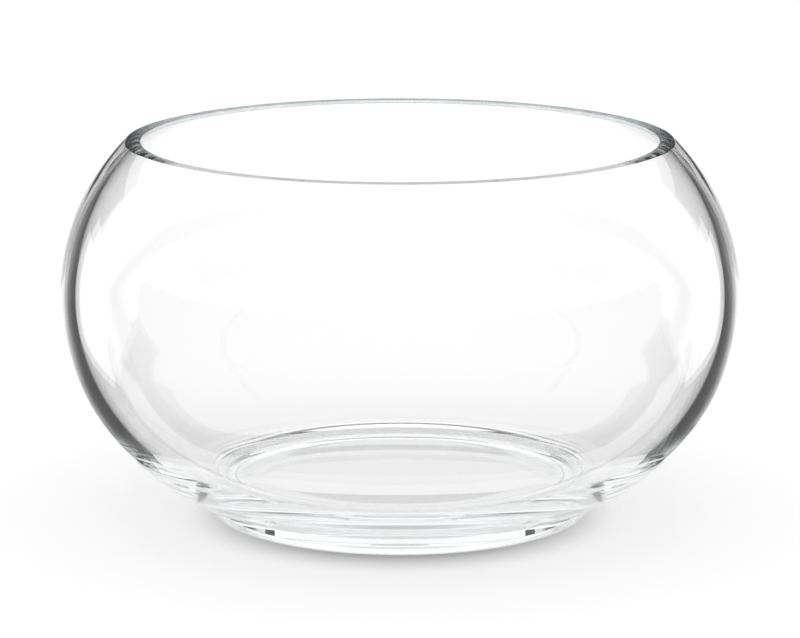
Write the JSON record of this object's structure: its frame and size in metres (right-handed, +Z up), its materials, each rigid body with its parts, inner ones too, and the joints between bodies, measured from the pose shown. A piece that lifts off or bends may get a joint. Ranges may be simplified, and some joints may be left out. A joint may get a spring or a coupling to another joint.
{
  "type": "crystallizing dish",
  "caption": "Round bellied clear glass dish with a flat-cut rim, a heavy base and a low disc foot, open at the top.",
  "frame": {"origin": "centre of the circle that the foot stands on, at the height of the table", "axes": "+Z up along the dish's axis of revolution; X and Y are any two directions across it"},
  "size_m": [0.26, 0.26, 0.144],
  "materials": {
    "clear_glass": "clear, polished, thick-walled"
  },
  "bodies": {
    "root": {"bowl": "clear_glass"}
  },
  "joints": []
}
